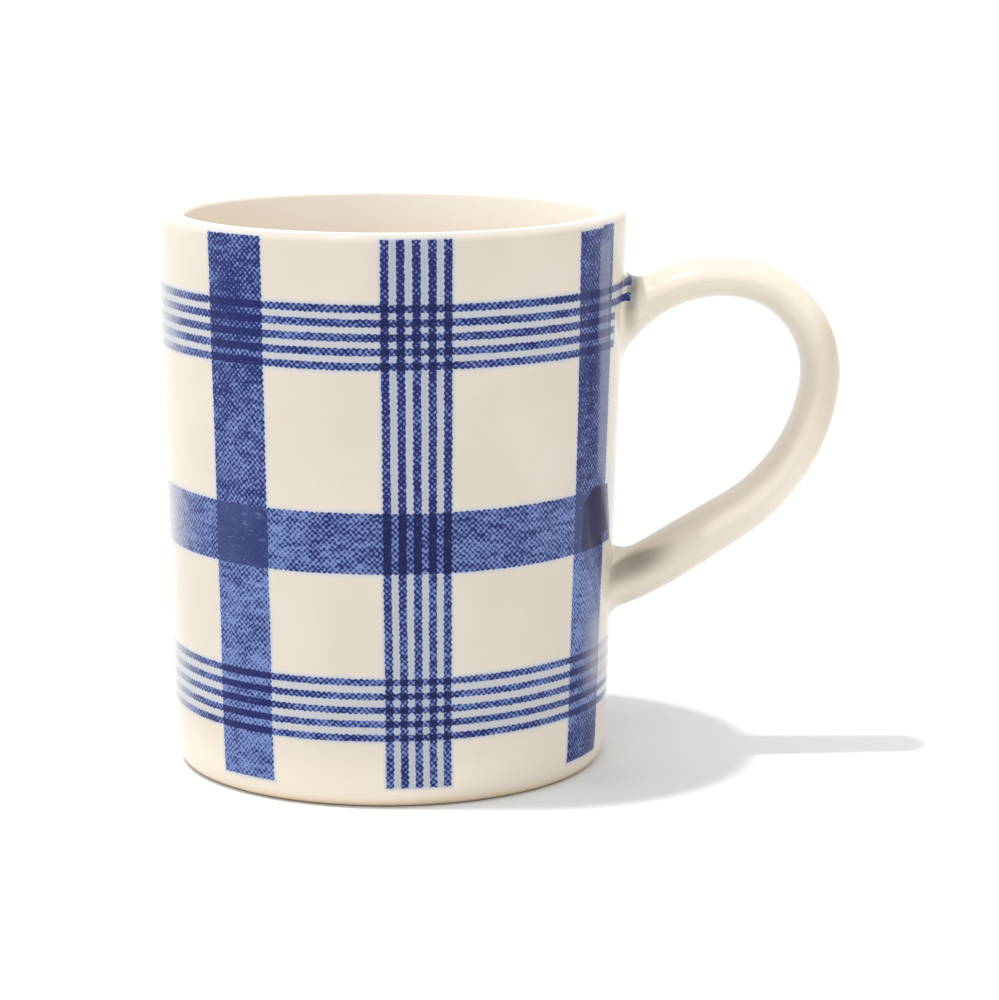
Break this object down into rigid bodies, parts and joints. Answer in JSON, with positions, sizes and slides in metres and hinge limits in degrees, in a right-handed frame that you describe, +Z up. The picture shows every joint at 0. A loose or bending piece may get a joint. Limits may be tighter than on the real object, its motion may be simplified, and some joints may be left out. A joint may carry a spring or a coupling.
{
  "type": "ceramic mug",
  "caption": "Straight-sided cream-glazed drinking mug with a gently tapered body, rounded lip, open loop handle and blue woven-plaid transfer print.",
  "frame": {"origin": "centre of the foot ring, in the plane that the mug stands on", "axes": "+Z up along the axis the body is turned about, +X toward the handle, +Y to the left of the handle seen from outside"},
  "size_m": [0.1236, 0.0842, 0.0994],
  "materials": {
    "bare_clay": "unglazed fired stoneware, matt",
    "handle_clay": "fired stoneware under the glaze",
    "joint_clay": "fired slip under the glaze",
    "cream_glaze": "glossy cream glaze",
    "handle_cream_glaze": "glossy cream glaze",
    "recess_glaze": "glossy cream glaze",
    "cobalt_print": "glossy cobalt blue fired transfer"
  },
  "bodies": {
    "root": {"clay_body": "bare_clay", "handle": "handle_clay", "upper_slip_joint": "joint_clay", "lower_slip_joint": "joint_clay", "body_glaze": "cream_glaze", "handle_glaze": "handle_cream_glaze", "foot_recess_glaze": "recess_glaze", "plaid_transfer": "cobalt_print"}
  },
  "joints": []
}
